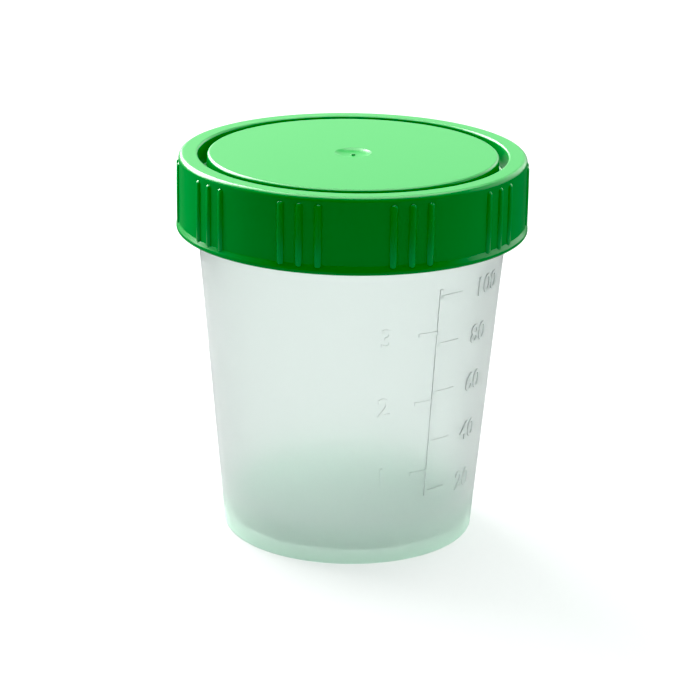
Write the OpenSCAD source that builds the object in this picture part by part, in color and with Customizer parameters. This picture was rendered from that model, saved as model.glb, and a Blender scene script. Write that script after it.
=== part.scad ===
// Graduated specimen cup of 100 ml with a screw lid.
// Millimetres, +Z up, origin at the centre of the foot. The front, -Y, faces the user.

/* [Cup] */
// Height from the foot to the lip
cup_h = 71.8; // [68:0.1:76]
// Outer diameter of the wall at the foot
foot_d = 48.2; // [44:0.1:52]
// Outer diameter of the wall where it meets the shoulder
shoulder_d = 58.8; // [55:0.1:60]
// Outer diameter of the neck, without its thread
neck_d = 61.7; // [61:0.1:63]
// Thickness of the wall and of the floor
wall = 1.1; // [0.9:0.05:1.3]
// Height of the floor's upper face above the foot
floor_z = 4.3; // [3.6:0.1:5.5]
// Radius between the floor and the wall, inside
floor_fillet = 2; // [1:0.1:3]

/* [Lid] */
// Height from the skirt's lower edge to the top
lid_h = 14.3; // [13:0.1:16]
// Outer diameter of the skirt between the ribs
lid_d = 65.8; // [65.6:0.1:67]
// Diameter of the raised centre panel
panel_d = 55; // [53:0.1:56]
// Depth of the ring groove round the panel
groove_depth = 4.5; // [3.5:0.1:5.5]
// Thickness of the lid's top
lid_top = 1.2; // [1:0.05:1.4]
// Height of the band along the skirt's lower edge
band_h = 1.6; // [1:0.1:2.4]

/* [Grip] */
// Number of groups of ribs round the skirt
rib_groups = 10; // [6:2:12]
// Angle between the ribs of one group
rib_step = 6.15; // [5.5:0.05:7]
// How far the ribs stand out
rib_proud = 0.4; // [0.3:0.05:0.5]
// Width of a rib
rib_w = 1.7; // [1.2:0.1:2]
// Direction of the first group, counted from the front towards the right
rib_az = 19.25; // [0:0.25:36]

/* [Thread] */
// Number of thread starts
starts = 3; // [2:1:3]
// Rise of the lid in one full turn
lead = 12; // [10:0.5:12]
// Height of each thread above its wall
thread_h = 0.7; // [0.6:0.05:0.75]

/* [Seal] */
// Thickness of the sealing washer
seal_t = 0.9; // [0.7:0.05:0.9]

/* [Graduation] */
// Direction of the scale's upright line, counted from the front towards the right
scale_az = 34.2; // [0:0.1:60]
// How far the scale stands out of the wall
scale_proud = 0.25; // [0.15:0.05:0.35]
// Height of the 100 ml line above the foot
full_z = 53; // [48:0.1:56]

/* [Hidden] */
$fn = 128;

gap = 0.05;                                // air under and over the washer
plug_gap = 0.08;                           // radial fit of the plug in the mouth
thread_gap = 0.25;                         // radial air over each thread's crest
embed = 0.3;                               // depth of a raised detail inside its wall

foot_r = foot_d / 2;
shoulder_r = shoulder_d / 2;
neck_r = neck_d / 2;
neck_wall = 1;
mouth_r = neck_r - neck_wall;
lip_round = 0.35;

lid_top_z = cup_h + 2 * gap + seal_t + lid_top;
plate_z = lid_top_z - lid_top;             // underside of the lid's top
skirt_z = lid_top_z - lid_h;               // lower edge of the skirt
lid_r = lid_d / 2;
skirt_in_r = neck_r + thread_h + thread_gap;
band_proud = rib_proud + 0.05;             // the band along the skirt's lower edge
rim_round = 1;                             // outer corner of the lid's rim
panel_r = panel_d / 2;
panel_round = 0.7;
groove_round = 1.2;                        // inner corner of the rim
plug_r = mouth_r - plug_gap;
plug_wall = 0.85;
groove_z = lid_top_z - groove_depth;
plug_z = groove_z - 1;                     // lower face of the plug

shoulder_z = skirt_z + 0.2;                // starts just inside the skirt
shoulder_h = 1.3;

thread_root_w = 1.9;
thread_crest_w = 0.7;
thread_turn = 210;                         // length of one start, in degrees
thread_fade = 15;                          // run-out at each end, in degrees
thread_sink = 0.17;                        // depth that the run-outs end at, inside the wall
thread_step = 5;
thread_az = 2.5;                           // where the first start begins
flank = (thread_root_w - thread_crest_w) / 2 / thread_h;
cup_thread_z = skirt_z + 3.2;              // centre of the cup's thread where it starts
lid_thread_drop = 1.35;                    // the lid's thread pulls from below by this much

seal_in_r = plug_r + 0.2;
seal_out_r = skirt_in_r - 0.4;

gate_d = 7;
gate_depth = 0.45;
gate_r = (gate_d * gate_d / 4 + gate_depth * gate_depth) / 2 / gate_depth;

line_w = 0.7;
tick_proud = scale_proud - 0.05;
ounce = 28.41;                             // millilitres in a fluid ounce
ml_tick = 10.3;                            // widths of the marks, in degrees
oz_tick = 7.5;
slant = (shoulder_r - foot_r) / shoulder_z;

// Outer radius of the cup's wall at a height
function wall_r(z) = foot_r + slant * z;

// Height of the mark for a volume in millilitres: the steps grow as the cup narrows downwards
function mark_z(ml) = let (steps = (100 - ml) / 20) full_z - 9.25 * steps - 0.14 * steps * steps;

// A ring of rectangular section
module ring(r_in, r_out, z, h) {
    translate([0, 0, z]) difference() {
        cylinder(r = r_out, h = h);
        translate([0, 0, -1]) cylinder(r = r_in, h = h + 2);
    }
}

// Four corners of a thread's section: side is 1 for a thread that points outwards, -1 inwards
function thread_section(root_r, side, rise, z, a) =
    let (base_w = thread_root_w / 2 + flank * embed,
         top_w = thread_root_w / 2 - flank * rise,
         base_r = root_r - side * embed,
         top_r = root_r + side * rise)
    [for (p = [[base_r, -base_w], [top_r, -top_w], [top_r, top_w], [base_r, base_w]])
        [p[0] * cos(a), p[0] * sin(a), z + p[1]]];

// Full height along the middle of a thread, run down into the wall at both ends
function thread_rise(a) =
    (thread_h + thread_sink) * min(1, a / thread_fade, (thread_turn - a) / thread_fade) - thread_sink;

// One start of a helical thread on a wall of radius root_r
module thread(root_r, side, z) {
    n = thread_turn / thread_step;
    points = [for (i = [0:n], p = thread_section(root_r, side, thread_rise(i * thread_step),
        z + lead * i * thread_step / 360, i * thread_step)) p];
    sides = [for (i = [0:n - 1], j = [0:3], t = [0, 1])
        let (a = 4 * i + j, b = 4 * i + (j + 1) % 4)
        t == 0 ? [a, b, a + 4] : [b, b + 4, a + 4]];
    caps = [[3, 2, 1], [3, 1, 0], [4 * n, 4 * n + 1, 4 * n + 2], [4 * n, 4 * n + 2, 4 * n + 3]];
    faces = concat(sides, caps);
    polyhedron(points = points, faces = side > 0 ? faces : [for (f = faces) [f[2], f[1], f[0]]]);
}

// All starts of a thread
module threads(root_r, side, z) {
    for (i = [0:starts - 1]) rotate(thread_az + i * 360 / starts) thread(root_r, side, z);
}

// A raised mark on the cup's wall: first azimuth, span, two heights and how far it stands out
module mark(az, span, z_low, z_high, proud) {
    rotate(az - 90) rotate_extrude(angle = span) polygon([
        [wall_r(z_low) - proud, z_low],
        [wall_r(z_low) + proud, z_low],
        [wall_r(z_high) + proud, z_high],
        [wall_r(z_high) - proud, z_high]]);
}

// Upright line with the millilitre marks on its right and the ounce marks on its left
module graduation() {
    line_span = 1.4;
    middle = scale_az + line_span / 2;
    mark(scale_az, line_span, mark_z(20) - line_w, full_z + 1.6, scale_proud);
    mark(middle, ml_tick, full_z - line_w, full_z + line_w / 2, tick_proud);
    for (ml = [20:20:80])
        mark(middle, ml_tick, mark_z(ml) - line_w / 2, mark_z(ml) + line_w / 2, tick_proud);
    for (oz = [1:3])
        mark(middle - oz_tick, oz_tick,
            mark_z(oz * ounce) - line_w / 2, mark_z(oz * ounce) + line_w / 2, tick_proud);
}

// Moulded cup: tapered wall on a foot ring, raised floor, shoulder and threaded neck
module cup() {
    color([0.86, 0.9, 0.88, 0.6]) {
        rotate_extrude() cup_section();
        graduation();
        threads(neck_r, 1, cup_thread_z);
        translate([0, 0, floor_z - wall - 0.4]) cylinder(d = 2, h = 0.4 + wall / 2);
    }
}

// Half section of the cup
module cup_section() {
    difference() {
        polygon([
            [0, 0], [foot_r - 0.6, 0], [foot_r + slant * 0.6, 0.6],
            [shoulder_r, shoulder_z], [neck_r, shoulder_z + shoulder_h],
            [neck_r, cup_h - lip_round], [neck_r - lip_round, cup_h],
            [mouth_r + lip_round, cup_h], [0, cup_h]]);
        cup_hollow();
        polygon([
            [0, -1], [foot_r - wall, -1],
            [wall_r(floor_z - wall) - wall, floor_z - wall], [0, floor_z - wall]]);
    }
}

// Half section of the space inside the cup
module cup_hollow() {
    inner_r = wall_r(floor_z) - wall - floor_fillet;
    polygon(concat(
        [[0, floor_z]],
        [for (a = [-90:10:-10]) [inner_r + floor_fillet * cos(a), floor_z + floor_fillet * (1 + sin(a))]],
        [[wall_r(floor_z + floor_fillet) - wall, floor_z + floor_fillet],
         [shoulder_r - wall, shoulder_z], [mouth_r, shoulder_z + shoulder_h],
         [mouth_r, cup_h - lip_round], [mouth_r + lip_round, cup_h],
         [mouth_r + lip_round, cup_h + 1], [0, cup_h + 1]]));
}

// Flat sealing washer on the lip, centred by the lid's plug
module seal_ring() {
    color([0.93, 0.93, 0.9]) ring(seal_in_r, seal_out_r, cup_h + gap, seal_t);
}

// Moulded lid: rim, grooved plug, raised panel, ribbed skirt and inner thread
module screw_lid() {
    color([0.05, 0.55, 0.2]) difference() {
        union() {
            rotate_extrude() lid_section();
            grip_ribs();
            threads(skirt_in_r, -1, cup_thread_z - lid_thread_drop);
        }
        translate([0, 0, lid_top_z - gate_depth + gate_r]) sphere(r = gate_r);
    }
    color([0.05, 0.55, 0.2]) translate([0, 0, lid_top_z - gate_depth - 0.3]) cylinder(d = 0.8, h = 0.55);
}

// Groups of three ribs on the skirt, from the band to the rim's round
module grip_ribs() {
    centre_r = lid_r + rib_proud - rib_w / 2;
    z_low = skirt_z + band_h / 2;
    difference() {
        for (g = [0:rib_groups - 1], k = [-1:1])
            rotate(rib_az + g * 360 / rib_groups + k * rib_step)
                translate([0, -centre_r, z_low])
                    cylinder(d = rib_w, h = lid_top_z - rim_round - 0.3 - z_low);
        translate([0, 0, skirt_z]) cylinder(r = skirt_in_r + embed, h = lid_h);
    }
}

// Quarter round between two walls: centre, radius, first and last angle
function arc(c, r, from, to, n = 5) =
    [for (i = [0:n]) let (a = from + (to - from) * i / n) c + r * [cos(a), sin(a)]];

// Half section of the lid
module lid_section() {
    panel_wall = 1;
    band_r = lid_r + band_proud;
    polygon(concat(
        [[0, plate_z], [panel_r - panel_wall, plate_z], [panel_r - panel_wall, plug_z],
         [plug_r - 0.5, plug_z], [plug_r, plug_z + 0.8], [plug_r, plate_z],
         [skirt_in_r, plate_z], [skirt_in_r, skirt_z], [band_r - 0.3, skirt_z],
         [band_r, skirt_z + 0.3], [band_r, skirt_z + band_h - band_proud],
         [lid_r, skirt_z + band_h]],
        arc([lid_r - rim_round, lid_top_z - rim_round], rim_round, 0, 90),
        arc([plug_r - plug_wall + groove_round, lid_top_z - groove_round], groove_round, 90, 180),
        [[plug_r - plug_wall, groove_z], [panel_r, groove_z]],
        arc([panel_r - panel_round, lid_top_z - panel_round], panel_round, 0, 90),
        [[0, lid_top_z]]));
}

cup();
seal_ring();
screw_lid();
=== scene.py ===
import math

import bmesh
import bpy
from mathutils import Matrix, Vector


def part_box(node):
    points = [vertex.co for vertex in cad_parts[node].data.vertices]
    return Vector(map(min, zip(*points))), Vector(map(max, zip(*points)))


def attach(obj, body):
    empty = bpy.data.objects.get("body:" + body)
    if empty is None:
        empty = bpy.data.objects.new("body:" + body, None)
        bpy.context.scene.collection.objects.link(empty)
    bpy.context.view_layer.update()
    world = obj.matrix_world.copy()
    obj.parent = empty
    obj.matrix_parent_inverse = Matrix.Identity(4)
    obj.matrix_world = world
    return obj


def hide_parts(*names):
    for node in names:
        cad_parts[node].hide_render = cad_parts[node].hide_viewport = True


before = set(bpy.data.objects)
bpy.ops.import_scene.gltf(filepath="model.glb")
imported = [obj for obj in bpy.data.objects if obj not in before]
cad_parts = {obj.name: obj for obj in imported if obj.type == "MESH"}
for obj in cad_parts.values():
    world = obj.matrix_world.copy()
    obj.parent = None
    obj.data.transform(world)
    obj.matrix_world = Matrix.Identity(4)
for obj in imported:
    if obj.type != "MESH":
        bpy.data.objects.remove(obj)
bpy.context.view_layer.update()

MM = 0.001

# ---------------------------------------------------------------- Camera
# A long lens half a metre in front of the cup and a little above its lid, rolled by under a
# degree. It looks along +Y.
camera_distance = 0.507
camera_elevation = math.radians(18.5)
camera_roll = math.radians(0.91)
aim_point = Vector((0, 0, 0.0347))
camera = bpy.data.objects.new("camera", bpy.data.cameras.new("camera"))
bpy.context.scene.collection.objects.link(camera)
camera.data.sensor_width = 36
camera.data.lens = 134.9
camera.data.clip_start = 0.02
camera_place = aim_point + camera_distance * Vector(
    (0, -math.cos(camera_elevation), math.sin(camera_elevation)))
aim = (aim_point - camera_place).to_track_quat("-Z", "Y").to_matrix().to_4x4()
camera.matrix_world = Matrix.Translation(camera_place) @ aim @ Matrix.Rotation(camera_roll, 4, "Z")
bpy.context.scene.camera = camera


# ---------------------------------------------------------------- Cup moulding
# One injection moulding in natural polypropylene: foot ring, raised floor with its gate nub,
# tapered wall, shoulder, neck and rounded lip. The wall is 1.1 mm thick and lets light through
# as a milky haze.
lip_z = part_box("cup")[1][2]
skirt_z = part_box("screw_lid")[0][2]
lid_top_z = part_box("screw_lid")[1][2]
wall = 1.1 * MM
foot_r = 24.1 * MM
shoulder_r = 29.4 * MM
neck_r = 30.85 * MM
neck_wall = 1.0 * MM
mouth_r = neck_r - neck_wall
shoulder_z = skirt_z + 0.2 * MM
neck_z = shoulder_z + 1.3 * MM
floor_z = 4.3 * MM
under_z = floor_z - wall
gate_r = 1.0 * MM
gate_z = under_z - 0.4 * MM
wall_slant = (shoulder_r - foot_r) / shoulder_z


def wall_r(z):
    """Outer radius of the tapered wall at a height."""
    return foot_r + wall_slant * z


def rounded(corners, arc_steps=6, holding=0.05 * MM):
    """An outline of (radius, height) points from corners given as (radius, height, round).

    A point just past each end of an arc keeps the shading of the flat beside it flat."""
    points = []
    for i, (r, z, rounding) in enumerate(corners):
        here = Vector((r, z))
        if not rounding:
            points.append(here)
            continue
        before = (Vector(corners[i - 1][:2]) - here).normalized()
        after = (Vector(corners[(i + 1) % len(corners)][:2]) - here).normalized()
        half = before.angle(after) / 2
        centre = here + (before + after).normalized() * (rounding / math.sin(half))
        reach = rounding / math.tan(half)
        start, end = here + before * reach - centre, here + after * reach - centre
        sweep = start.angle(end)
        points.append(here + before * (reach + holding))
        for step in range(arc_steps + 1):
            share = step / arc_steps
            mix = start * math.sin((1 - share) * sweep) + end * math.sin(share * sweep)
            points.append(centre + mix / math.sin(sweep))
        points.append(here + after * (reach + holding))
    return points


def lathe(name, outline, turns=288):
    """A closed solid turned from an outline. It starts and ends on the axis, or runs round a
    ring's section, and its outer side is on the right."""
    vertices, rings = [], []
    for point in outline:
        if point.x < 1e-7:
            rings.append([len(vertices)])
            vertices.append((0, 0, point.y))
            continue
        rings.append(list(range(len(vertices), len(vertices) + turns)))
        for i in range(turns):
            angle = 2 * math.pi * (i + 0.5) / turns
            vertices.append((point.x * math.cos(angle), point.x * math.sin(angle), point.y))
    if len(rings[0]) > 1:
        rings.append(rings[0])
    faces = []
    for low, high in zip(rings, rings[1:]):
        for i in range(turns):
            j = (i + 1) % turns
            if len(low) == 1:
                faces.append((low[0], high[j], high[i]))
            elif len(high) == 1:
                faces.append((low[i], low[j], high[0]))
            else:
                faces.append((low[i], low[j], high[j], high[i]))
    mesh = bpy.data.meshes.new(name)
    mesh.from_pydata(vertices, [], faces)
    return piece_from(name, mesh)


def piece_from(name, mesh):
    """A smooth-shaded object at the origin that holds the mesh."""
    mesh.name = name
    mesh.shade_smooth()
    mesh.set_sharp_from_angle(angle=math.radians(35))
    piece = bpy.data.objects.new(name, mesh)
    bpy.context.scene.collection.objects.link(piece)
    return piece


cup_body = lathe("cup_body", rounded([
    (0, gate_z, 0),
    (gate_r, gate_z, 0.15 * MM),
    (gate_r, under_z, 0.1 * MM),
    (wall_r(under_z) - wall, under_z, 0.5 * MM),
    (foot_r - wall, 0, 0.3 * MM),
    (foot_r, 0, 0.6 * MM),
    (shoulder_r, shoulder_z, 0.5 * MM),
    (neck_r, neck_z, 0.4 * MM),
    (neck_r, lip_z, 0.4 * MM),
    (mouth_r, lip_z, 0.4 * MM),
    (mouth_r, neck_z, 0.4 * MM),
    (shoulder_r - wall, shoulder_z, 0.5 * MM),
    (wall_r(floor_z) - wall, floor_z, 2 * MM),
    (0, floor_z, 0),
]))


def add_node(tree, kind, *sources, **settings):
    """Adds a node. Each source feeds the next input: a socket is linked, a value is set."""
    node = tree.nodes.new(kind)
    for key, value in settings.items():
        setattr(node, key, value)
    sockets = [socket for socket in node.inputs if socket.enabled]
    for socket, source in zip(sockets, sources):
        if isinstance(source, bpy.types.NodeSocket):
            tree.links.new(source, socket)
        elif source is not None:
            socket.default_value = source
    return node


def moulded_plastic(name, **sockets):
    """A Principled material with constant values on its own sockets. Returns it and its shader."""
    material = bpy.data.materials.new(name)
    material.use_nodes = True
    shader = material.node_tree.nodes["Principled BSDF"]
    for key, value in sockets.items():
        shader.inputs[key.replace("_", " ")].default_value = value
    return material, shader


def blotches(tree, place, scale, first, second, shader, detail=3.0):
    """Lets the base colour drift between two colours. Returns the noise that drives it."""
    drift = add_node(tree, "ShaderNodeTexNoise", place, None, scale, detail, 0.5).outputs["Fac"]
    colour = add_node(tree, "ShaderNodeMix", drift, data_type="RGBA")
    colour.inputs["A"].default_value = (*first, 1)
    colour.inputs["B"].default_value = (*second, 1)
    tree.links.new(colour.outputs["Result"], shader.inputs["Base Color"])
    return drift


def satin(tree, place, scale, distance, shader, strength=0.3):
    """Gives the surface the fine grain of a polished mould that has worn."""
    grain = add_node(tree, "ShaderNodeTexNoise", place, None, scale, 2.0, 0.6).outputs["Fac"]
    bump = add_node(tree, "ShaderNodeBump", strength, distance)
    tree.links.new(grain, bump.inputs["Height"])
    tree.links.new(bump.outputs["Normal"], shader.inputs["Normal"])
    return grain


natural_pp, natural_shader = moulded_plastic("natural_polypropylene", IOR=1.49)
tree = natural_pp.node_tree
place = add_node(tree, "ShaderNodeTexCoord").outputs["Object"]
haze = blotches(tree, place, 90.0, (0.85, 0.888, 0.872), (0.88, 0.912, 0.900), natural_shader)
satin(tree, place, 1500.0, 0.00003, natural_shader)
# Towards the foot the plastic is drawn milkier, rougher and greener: a painted tint that stands in
# for the light seen through the stacked foot, floor and table under the cup
height = add_node(tree, "ShaderNodeSeparateXYZ", place).outputs["Z"]
milky_top = 9 * MM
clear = add_node(tree, "ShaderNodeMapRange", height, 0.0, milky_top, 0.6, 0.92).outputs["Result"]
tree.links.new(clear, natural_shader.inputs["Transmission Weight"])
painted_foot_share = add_node(
    tree, "ShaderNodeMapRange", height, 0.0, milky_top, 1.0, 0.0).outputs["Result"]
haze_rough = add_node(tree, "ShaderNodeMapRange", haze, 0.3, 0.7, 0.24, 0.32).outputs["Result"]
milky = add_node(tree, "ShaderNodeMath", painted_foot_share, 0.4, haze_rough, operation="MULTIPLY_ADD")
tree.links.new(milky.outputs[0], natural_shader.inputs["Roughness"])
# Painted green tint that grows towards the foot, standing in for light through the stacked layers
# there
painted_foot_tint = add_node(tree, "ShaderNodeMix", painted_foot_share, data_type="RGBA")
tree.links.new(natural_shader.inputs["Base Color"].links[0].from_socket, painted_foot_tint.inputs["A"])
painted_foot_tint.inputs["B"].default_value = (0.76, 0.97, 0.85, 1)
tree.links.new(painted_foot_tint.outputs["Result"], natural_shader.inputs["Base Color"])


# ---------------------------------------------------------------- Neck thread
# Three coarse starts of a quick-turn screw, moulded on the neck. Each runs 210 degrees round it
# and sinks into the wall at both ends.
thread_lead = 12 * MM
thread_turn = 210 / 360
thread_start_z = skirt_z + 3.2 * MM
thread_first_turn = math.radians(2.5)


def shape_tree(name, sizes):
    """A Geometry Nodes tree with a named input for each size. Returns it and their sockets."""
    tree = bpy.data.node_groups.new(name, "GeometryNodeTree")
    tree.interface.new_socket(name="Geometry", in_out="INPUT", socket_type="NodeSocketGeometry")
    tree.interface.new_socket(name="Geometry", in_out="OUTPUT", socket_type="NodeSocketGeometry")
    kinds = {float: "NodeSocketFloat", int: "NodeSocketInt"}
    for size, value in sizes.items():
        kind = kinds.get(type(value), "NodeSocketMaterial")
        tree.interface.new_socket(name=size, in_out="INPUT", socket_type=kind)
    return tree, tree.nodes.new("NodeGroupInput").outputs


def maths(tree, operation, *values):
    """The result of a Math node."""
    return add_node(tree, "ShaderNodeMath", *values, operation=operation).outputs[0]


def set_field(tree, kind, geometry, socket, value):
    """A node that sets one field of a geometry, such as its positions."""
    node = add_node(tree, kind, geometry)
    if isinstance(value, bpy.types.NodeSocket):
        tree.links.new(value, node.inputs[socket])
    else:
        node.inputs[socket].default_value = value
    return node.outputs[0]


def turned_copies(tree, geometry, count, first_turn, step):
    """Instances of a geometry, each turned a step further round Z."""
    points = add_node(tree, "GeometryNodePoints", count).outputs[0]
    index = add_node(tree, "GeometryNodeInputIndex").outputs[0]
    angle = maths(tree, "MULTIPLY_ADD", index, step, first_turn)
    turn = add_node(tree, "ShaderNodeCombineXYZ", None, None, angle).outputs[0]
    copies = add_node(tree, "GeometryNodeInstanceOnPoints", points)
    tree.links.new(geometry, copies.inputs["Instance"])
    tree.links.new(turn, copies.inputs["Rotation"])
    return copies.outputs[0]


def finish_tree(tree, geometry, material):
    """Ends a tree in Realize Instances and Set Material."""
    real = add_node(tree, "GeometryNodeRealizeInstances", geometry).outputs[0]
    made = set_field(tree, "GeometryNodeSetMaterial", real, "Material", material)
    tree.links.new(made, add_node(tree, "NodeGroupOutput").inputs[0])


def grow(name, tree, sizes, seed_mesh=None):
    """Runs a tree with these sizes and returns the result as a plain object."""
    holder = bpy.data.objects.new(name, seed_mesh or bpy.data.meshes.new(name))
    bpy.context.scene.collection.objects.link(holder)
    modifier = holder.modifiers.new("shape", "NODES")
    modifier.node_group = tree
    for socket in tree.interface.items_tree:
        if socket.in_out == "INPUT" and socket.name in sizes:
            modifier[socket.identifier] = sizes[socket.name]
    mesh = bpy.data.meshes.new_from_object(
        holder.evaluated_get(bpy.context.evaluated_depsgraph_get()))
    bpy.data.objects.remove(holder)
    return piece_from(name, mesh)


neck_thread_sizes = {
    "Wall radius": neck_r,
    "Side": 1.0,
    "First height": thread_start_z,
    "Lead": thread_lead,
    "Turns": thread_turn,
    "First turn": thread_first_turn,
    "Starts": 3,
    "Thread height": 0.7 * MM,
    "Root width": 1.9 * MM,
    "Crest width": 0.7 * MM,
    "Depth in wall": 0.3 * MM,
    "Edge round": 0.18 * MM,
    "Plastic": natural_pp,
}
tree, size = shape_tree("screw_thread", neck_thread_sizes)
rise = maths(tree, "MULTIPLY", size["Lead"], size["Turns"])
sunk = maths(tree, "MULTIPLY", size["Side"], size["Depth in wall"])
root_radius = maths(tree, "SUBTRACT", size["Wall radius"], sunk)
helix = add_node(
    tree, "GeometryNodeCurveSpiral", 120, size["Turns"], root_radius, root_radius, rise)
along = add_node(tree, "GeometryNodeSplineParameter").outputs["Factor"]
near_end = maths(tree, "MINIMUM", along, maths(tree, "SUBTRACT", 1.0, along))
run_out = add_node(tree, "ShaderNodeMapRange", near_end, 0.0, 0.08, 0.03, 1.0,
                   interpolation_type="SMOOTHSTEP").outputs["Result"]
lift = add_node(tree, "ShaderNodeCombineXYZ", None, None, size["First height"]).outputs[0]
path = set_field(tree, "GeometryNodeSetPosition", helix.outputs[0], "Offset", lift)
path = add_node(tree, "GeometryNodeSetCurveNormal", path, mode="Z_UP").outputs[0]
quarter_turn = maths(tree, "MULTIPLY", size["Side"], math.pi / 2)
path = set_field(tree, "GeometryNodeSetCurveTilt", path, "Tilt", quarter_turn)
path = set_field(tree, "GeometryNodeSetCurveRadius", path, "Radius", run_out)
section = add_node(tree, "GeometryNodeCurvePrimitiveQuadrilateral", mode="TRAPEZOID")
section_height = maths(tree, "ADD", size["Thread height"], size["Depth in wall"])
for socket, value in (("Height", section_height), ("Bottom Width", size["Root width"]),
                      ("Top Width", size["Crest width"])):
    tree.links.new(value, section.inputs[socket])
section.inputs["Offset"].default_value = 0
half_height = maths(tree, "MULTIPLY", section_height, 0.5)
stand = add_node(tree, "ShaderNodeCombineXYZ", None, half_height).outputs[0]
standing = set_field(tree, "GeometryNodeSetPosition", section.outputs[0], "Offset", stand)
soft_section = add_node(tree, "GeometryNodeFilletCurve", standing)
tree.links.new(size["Edge round"], soft_section.inputs["Radius"])
soft_section.mode = "POLY"
soft_section.inputs["Count"].default_value = 3
one_start = add_node(tree, "GeometryNodeCurveToMesh", path, soft_section.outputs[0])
one_start.inputs["Fill Caps"].default_value = True
start_step = maths(tree, "DIVIDE", 2 * math.pi, size["Starts"])
starts = turned_copies(tree, one_start.outputs[0], size["Starts"], size["First turn"], start_step)
finish_tree(tree, starts, size["Plastic"])
thread_tree = tree


def face_outwards(piece):
    """Merges a closed piece's doubles and turns its faces outwards."""
    form = bmesh.new()
    form.from_mesh(piece.data)
    bmesh.ops.remove_doubles(form, verts=form.verts, dist=0.002 * MM)
    bmesh.ops.recalc_face_normals(form, faces=form.faces)
    form.to_mesh(piece.data)
    form.free()
    return piece


neck_thread = face_outwards(grow("neck_thread", thread_tree, neck_thread_sizes))


# ---------------------------------------------------------------- Volume scale
# The scale stands a quarter of a millimetre out of the wall, cut into the same mould as the cup:
# an upright line, millilitre marks on its right, fluid ounce marks on its left, and numerals.
line_azimuth = math.radians(34.9)
flat_r = 27.5 * MM
degree = math.radians(1) * flat_r
numeral_size = 5.2 * MM
ml_numeral_azimuth = 53.0
oz_numeral_azimuth = 16.4
scale_proud = 0.25 * MM
line_w = 0.7 * MM
full_z = 53 * MM
ounce = 28.41


full_volume = 100.0
volume_step = 20.0
first_fall = 9.25 * MM
fall_growth = 0.14 * MM


def mark_z(millilitres):
    """Height of a volume's mark: the steps grow as the cup narrows downwards."""
    steps = (full_volume - millilitres) / volume_step
    return full_z - (first_fall * steps + fall_growth * steps * steps)


mark_sizes = {
    "Marks": 5,
    "First volume": volume_step,
    "Volume step": volume_step,
    "Left end": 0.0,
    "Right end": 10.3 * degree,
    "Mark width": line_w,
    "Proud": scale_proud - 0.05 * MM,
    "Plastic": natural_pp,
}
tree, size = shape_tree("flat_marks", mark_sizes)
length = maths(tree, "SUBTRACT", size["Right end"], size["Left end"])
middle = maths(tree, "MULTIPLY_ADD", length, 0.5, size["Left end"])
thick = maths(tree, "MULTIPLY", size["Proud"], 2.0)
bar_size = add_node(tree, "ShaderNodeCombineXYZ", length, size["Mark width"], thick).outputs[0]
bar = add_node(tree, "GeometryNodeMeshCube", bar_size, 14, 2, 2).outputs[0]
index = add_node(tree, "GeometryNodeInputIndex").outputs[0]
volume = maths(tree, "MULTIPLY_ADD", index, size["Volume step"], size["First volume"])
steps = maths(tree, "DIVIDE", maths(tree, "SUBTRACT", full_volume, volume), volume_step)
fall = maths(tree, "MULTIPLY_ADD", steps, -fall_growth, -first_fall)
level = maths(tree, "MULTIPLY_ADD", steps, fall, full_z)
spot = add_node(tree, "ShaderNodeCombineXYZ", middle, level).outputs[0]
spots = add_node(tree, "GeometryNodePoints", size["Marks"], spot).outputs[0]
bars = add_node(tree, "GeometryNodeInstanceOnPoints", spots)
tree.links.new(bar, bars.inputs["Instance"])
finish_tree(tree, bars.outputs[0], size["Plastic"])

flat_scale = bmesh.new()
ml_marks = grow("millilitre_marks", tree, mark_sizes)
oz_marks = grow("ounce_marks", tree, mark_sizes | {
    "Marks": 3, "First volume": ounce, "Volume step": ounce,
    "Left end": -8.5 * degree, "Right end": 0.0})
for marks in (ml_marks, oz_marks):
    flat_scale.from_mesh(marks.data)
    bpy.data.objects.remove(marks)
line_low, line_high = mark_z(20) - line_w, full_z + 1.6 * MM
upright = bmesh.ops.create_cube(flat_scale, size=1)["verts"]
bmesh.ops.transform(flat_scale, verts=upright, matrix=Matrix.LocRotScale(
    (0, (line_low + line_high) / 2, 0), None,
    (line_w, line_high - line_low, 2 * scale_proud)))


def numeral(form, text, azimuth_degrees, level, alignment):
    """Adds raised numerals to the flat scale, centred on a level."""
    curve = bpy.data.curves.new("numeral", "FONT")
    curve.body = text
    curve.size = numeral_size
    curve.offset = 0.04 * MM
    curve.extrude = scale_proud
    curve.resolution_u = 4
    curve.align_x = alignment
    letters = bpy.data.objects.new("numeral", curve)
    bpy.context.scene.collection.objects.link(letters)
    mesh = bpy.data.meshes.new_from_object(
        letters.evaluated_get(bpy.context.evaluated_depsgraph_get()))
    bpy.data.objects.remove(letters)
    heights = [vertex.co.y for vertex in mesh.vertices]
    side = (math.radians(azimuth_degrees) - line_azimuth) * flat_r
    mesh.transform(Matrix.Translation((side, level - (max(heights) + min(heights)) / 2, 0)))
    form.from_mesh(mesh)


for millilitres in (20, 40, 60, 80, 100):
    numeral(flat_scale, str(millilitres), ml_numeral_azimuth, mark_z(millilitres), "LEFT")
for ounces in (1, 2, 3):
    numeral(flat_scale, str(ounces), oz_numeral_azimuth, mark_z(ounces * ounce), "RIGHT")

# The flat scale is wrapped on the wall: across becomes azimuth, up stays up, out becomes radius
bmesh.ops.remove_doubles(flat_scale, verts=flat_scale.verts, dist=0.002 * MM)
for vertex in flat_scale.verts:
    across, up, out = vertex.co
    azimuth = line_azimuth + across / flat_r
    radius = wall_r(up) + out
    vertex.co = (radius * math.sin(azimuth), -radius * math.cos(azimuth), up)
scale_mesh = bpy.data.meshes.new("volume_scale")
flat_scale.to_mesh(scale_mesh)
flat_scale.free()
volume_scale = face_outwards(piece_from("volume_scale", scale_mesh))


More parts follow.
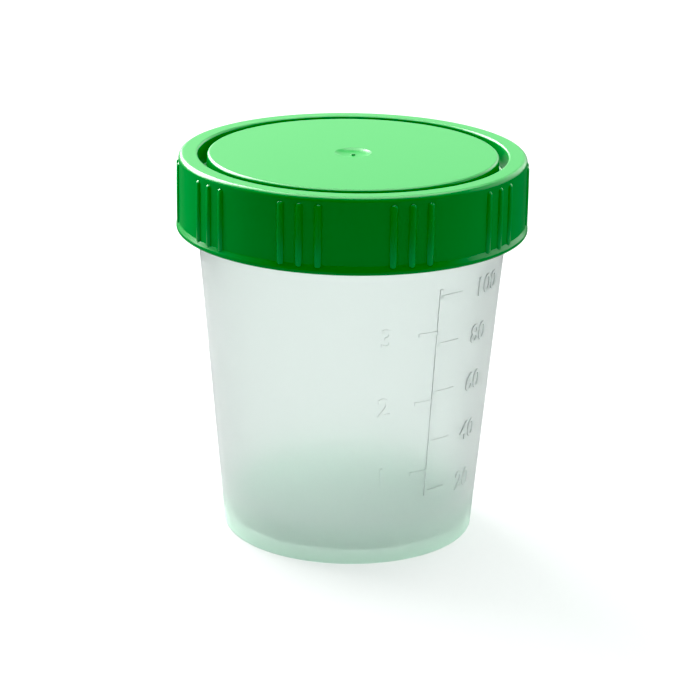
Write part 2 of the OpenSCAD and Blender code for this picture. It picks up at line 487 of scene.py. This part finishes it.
def weld(name, parts, material):
    """One moulding from a body and its raised details, whose inner faces vanish."""
    body = parts[0]
    for detail in parts[1:]:
        union = body.modifiers.new("union", "BOOLEAN")
        union.operation = "UNION"
        union.solver = "MANIFOLD"
        union.object = detail
    mesh = bpy.data.meshes.new_from_object(
        body.evaluated_get(bpy.context.evaluated_depsgraph_get()))
    for part in parts:
        bpy.data.objects.remove(part)
    mesh.materials.clear()
    mesh.materials.append(material)
    mesh.polygons.foreach_set("material_index", [0] * len(mesh.polygons))
    return piece_from(name, mesh)


cup = weld("cup_moulding", [cup_body, neck_thread, volume_scale], natural_pp)
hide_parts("cup")
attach(cup, "cup")


# ---------------------------------------------------------------- Sealing washer
# A flat ring punched from soft white polyethylene foam sheet. It lies between the cup's lip and
# the lid, and the lid's plug keeps it central.
washer_low, washer_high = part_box("seal_ring")
plug_r = mouth_r - 0.08 * MM
washer_in_r = plug_r + 0.2 * MM
washer_edge = 0.12 * MM
washer = lathe("sealing_washer", rounded([
    (washer_in_r, washer_low[2], washer_edge),
    (washer_high[0], washer_low[2], washer_edge),
    (washer_high[0], washer_high[2], washer_edge),
    (washer_in_r, washer_high[2], washer_edge),
], arc_steps=3, holding=0.03 * MM))
foam, foam_shader = moulded_plastic("polyethylene_foam", Roughness=0.62, IOR=1.5)
tree = foam.node_tree
place = add_node(tree, "ShaderNodeTexCoord").outputs["Object"]
blotches(tree, place, 400.0, (0.80, 0.80, 0.77), (0.90, 0.90, 0.88), foam_shader)
cells = add_node(tree, "ShaderNodeTexVoronoi", place, None, 5500.0).outputs["Distance"]
cell_bump = add_node(tree, "ShaderNodeBump", 0.5, 0.00006)
tree.links.new(cells, cell_bump.inputs["Height"])
tree.links.new(cell_bump.outputs["Normal"], foam_shader.inputs["Normal"])
washer.data.materials.append(foam)
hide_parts("seal_ring")
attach(washer, "seal")


# ---------------------------------------------------------------- Screw lid
# One injection moulding in opaque green polypropylene: flat rim, a ring groove that is the back
# of the plug, a raised panel with the gate's dimple, and a skirt with a band along its edge. Ten
# groups of three ribs give it grip.
lid_r = 32.9 * MM
rib_proud = 0.4 * MM
rib_w = 1.7 * MM
band_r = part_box("screw_lid")[1][0]
band_top = skirt_z + 1.6 * MM
skirt_in_r = 31.8 * MM
lid_top = 1.2 * MM
plate_z = lid_top_z - lid_top
panel_r = 27.5 * MM
panel_wall = 1.0 * MM
groove_z = lid_top_z - 4.5 * MM
groove_out_r = plug_r - 0.5 * MM
plug_z = groove_z - 1.0 * MM
dish_r = 3.5 * MM
dish_depth = 0.5 * MM
nub_r = 0.4 * MM
nub_top = lid_top_z - dish_depth + 0.25 * MM


def dish_z(r):
    """Height of the dimple's floor, which steepens towards its edge."""
    return lid_top_z - dish_depth * (1 - (r / dish_r) ** 3)


dish_steps = 8
dish = [(r, dish_z(r), 0) for r in
        (dish_r - (dish_r - nub_r) * step / dish_steps for step in range(1, dish_steps))]
lid_body = lathe("lid_body", rounded([
    (0, plate_z, 0),
    (panel_r - panel_wall, plate_z, 0.4 * MM),
    (panel_r - panel_wall, plug_z, 0.25 * MM),
    (plug_r - 0.5 * MM, plug_z, 0.15 * MM),
    (plug_r, plug_z + 0.8 * MM, 0.3 * MM),
    (plug_r, plate_z, 0.15 * MM),
    (skirt_in_r, plate_z, 0.3 * MM),
    (skirt_in_r, skirt_z, 0.2 * MM),
    (band_r, skirt_z, 0.3 * MM),
    (band_r, band_top - 0.9 * MM, 0.4 * MM),
    (lid_r, band_top, 0.4 * MM),
    (lid_r, lid_top_z, 0.9 * MM),
    (groove_out_r, lid_top_z, 0.5 * MM),
    (groove_out_r, groove_z, 0.4 * MM),
    (panel_r + 0.2 * MM, groove_z, 0.4 * MM),
    (panel_r, lid_top_z, 0.6 * MM),
    (dish_r, lid_top_z, 0.12 * MM),
    *dish,
    (nub_r, dish_z(nub_r), 0.05 * MM),
    (nub_r, nub_top, 0.1 * MM),
    (0, nub_top, 0),
]))

green_pp, green_shader = moulded_plastic(
    "green_polypropylene", IOR=1.49, Specular_IOR_Level=0.4)
tree = green_pp.node_tree
place = add_node(tree, "ShaderNodeTexCoord").outputs["Object"]
flow = blotches(tree, place, 55.0, (0.004, 0.24, 0.028), (0.006, 0.275, 0.035), green_shader, 4.0)
gloss = add_node(tree, "ShaderNodeMapRange", flow, 0.3, 0.7, 0.24, 0.32)
tree.links.new(gloss.outputs["Result"], green_shader.inputs["Roughness"])
satin(tree, place, 900.0, 0.00004, green_shader, 0.25)

rib_low, rib_high = skirt_z + 0.8 * MM, lid_top_z - 1.3 * MM
rib_sizes = {
    "Groups": 10,
    "Ribs in a group": 3,
    "First turn": math.radians(19.25),
    "Step in a group": math.radians(6.15),
    "Rib width": rib_w,
    "Rib radius": lid_r + rib_proud - rib_w / 2,
    "Middle height": (rib_low + rib_high) / 2,
    "Rib length": rib_high - rib_low,
    "Plastic": green_pp,
}
tree, size = shape_tree("grip_ribs", rib_sizes)
half_width = maths(tree, "MULTIPLY", size["Rib width"], 0.5)
ball = add_node(tree, "GeometryNodeMeshUVSphere", 28, 14, half_width).outputs[0]
place = add_node(tree, "GeometryNodeInputPosition").outputs[0]
ball_z = add_node(tree, "ShaderNodeSeparateXYZ", place).outputs["Z"]
tall = maths(tree, "MULTIPLY", ball_z, 1 / MM)
upper = maths(tree, "SIGN", maths(tree, "ROUND", maths(tree, "MULTIPLY", tall, 1000.0)))
straight = maths(tree, "SUBTRACT", maths(tree, "MULTIPLY", size["Rib length"], 0.5), half_width)
outwards = maths(tree, "MULTIPLY", size["Rib radius"], -1.0)
upwards = maths(tree, "MULTIPLY_ADD", upper, straight, size["Middle height"])
stretch = add_node(tree, "ShaderNodeCombineXYZ", None, outwards, upwards).outputs[0]
rib = set_field(tree, "GeometryNodeSetPosition", ball, "Offset", stretch)
points = add_node(
    tree, "GeometryNodePoints", maths(tree, "MULTIPLY", size["Groups"], size["Ribs in a group"]))
index = add_node(tree, "GeometryNodeInputIndex").outputs[0]
group = maths(tree, "FLOOR", maths(tree, "DIVIDE", maths(tree, "ADD", index, 0.5),
                                   size["Ribs in a group"]))
group_start = maths(tree, "MULTIPLY", group, size["Ribs in a group"])
in_group = maths(tree, "SUBTRACT", maths(tree, "SUBTRACT", index, group_start), 1.0)
group_turn = maths(tree, "MULTIPLY", group, maths(tree, "DIVIDE", 2 * math.pi, size["Groups"]))
turn = maths(tree, "ADD", maths(tree, "ADD", group_turn, size["First turn"]),
             maths(tree, "MULTIPLY", in_group, size["Step in a group"]))
spin = add_node(tree, "ShaderNodeCombineXYZ", None, None, turn).outputs[0]
ribs = add_node(tree, "GeometryNodeInstanceOnPoints", points.outputs[0])
tree.links.new(rib, ribs.inputs["Instance"])
tree.links.new(spin, ribs.inputs["Rotation"])
finish_tree(tree, ribs.outputs[0], size["Plastic"])
grip_ribs = face_outwards(grow("grip_ribs", tree, rib_sizes))

# The ribs stay out of the skirt's bore
rib_root_r = skirt_in_r + 0.3 * MM
for vertex in grip_ribs.data.vertices:
    x, y, z = vertex.co
    radius = math.hypot(x, y)
    keep = max(radius, rib_root_r) / radius
    vertex.co = (x * keep, y * keep, z)

# Closed, the lid's thread lies under the neck's
thread_drop = 1.35 * MM
lid_thread = face_outwards(grow("lid_thread", thread_tree, neck_thread_sizes | {
    "Wall radius": skirt_in_r,
    "Side": -1.0,
    "First height": thread_start_z - thread_drop,
    "Plastic": green_pp,
}))
lid = weld("screw_lid_moulding", [lid_body, grip_ribs, lid_thread], green_pp)
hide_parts("screw_lid")
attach(lid, "lid")


# ---------------------------------------------------------------- Floor and light
# A plain pale light table, lit from below, in a dim studio: a strong softbox at the left and
# behind, a larger and weaker one at the right and behind, a soft one overhead, and a pale wall at
# the back.
floor_mesh = bpy.data.meshes.new("floor")
reach = 3.0
floor_mesh.from_pydata(
    [(-reach, -reach, 0), (reach, -reach, 0), (reach, reach, 0), (-reach, reach, 0)], [],
    [(0, 1, 2, 3)])
floor = bpy.data.objects.new("floor", floor_mesh)
bpy.context.scene.collection.objects.link(floor)
table = moulded_plastic(
    "pale_table", Roughness=0.9, Specular_IOR_Level=0.2, Base_Color=(0.18, 0.18, 0.18, 1),
    Emission_Color=(0.94, 1, 0.97, 1), Emission_Strength=0.72)[0]
floor_mesh.materials.append(table)
floor.visible_glossy = False

# Only the patch of table next to the cup shows in its sheen, so the skirt mirrors a dark room
patch_r = 0.175
patch_sides = 64
patch_mesh = bpy.data.meshes.new("table_patch")
patch_mesh.from_pydata(
    [(patch_r * math.cos(2 * math.pi * i / patch_sides),
      patch_r * math.sin(2 * math.pi * i / patch_sides), -0.5 * MM) for i in range(patch_sides)],
    [], [tuple(range(patch_sides))])
patch = bpy.data.objects.new("table_patch", patch_mesh)
bpy.context.scene.collection.objects.link(patch)
patch_mesh.materials.append(table)
for ray in ("camera", "diffuse", "transmission", "shadow"):
    setattr(patch, "visible_" + ray, False)


def softbox(name, place, size, radiance, target=(0, 0, 0.05)):
    """An area light of size (width, height) that faces the cup, as bright as its radiance."""
    light = bpy.data.lights.new(name, "AREA")
    light.shape = "RECTANGLE"
    light.size, light.size_y = size
    light.energy = radiance * size[0] * size[1] * math.pi
    box = bpy.data.objects.new(name, light)
    box.location = place
    box.rotation_euler = (Vector(target) - Vector(place)).to_track_quat("-Z", "Y").to_euler()
    bpy.context.scene.collection.objects.link(box)
    return box


softbox("left_light", (-0.6, 0.66, 0.56), (0.9, 0.65), 17.0)
softbox("right_light", (0.95, 0.6, 0.42), (1.7, 0.8), 1.8)
softbox("overhead_light", (0, 0.3, 1.1), (1.4, 1.2), 5.0)
softbox("back_wall", (0, 2.4, 0.75), (4.5, 1.3), 1.0)
world = bpy.data.worlds.new("studio")
world.use_nodes = True
bpy.context.scene.world = world
background = world.node_tree.nodes["Background"]
background.inputs["Color"].default_value = (0.9, 0.95, 1.0, 1)
background.inputs["Strength"].default_value = 0.1
view = bpy.context.scene.view_settings
view.view_transform = "Standard"
view.use_curve_mapping = True
view.curve_mapping.black_level = (0.032, 0.03, 0.024)
bpy.context.scene.cycles.use_denoising = True
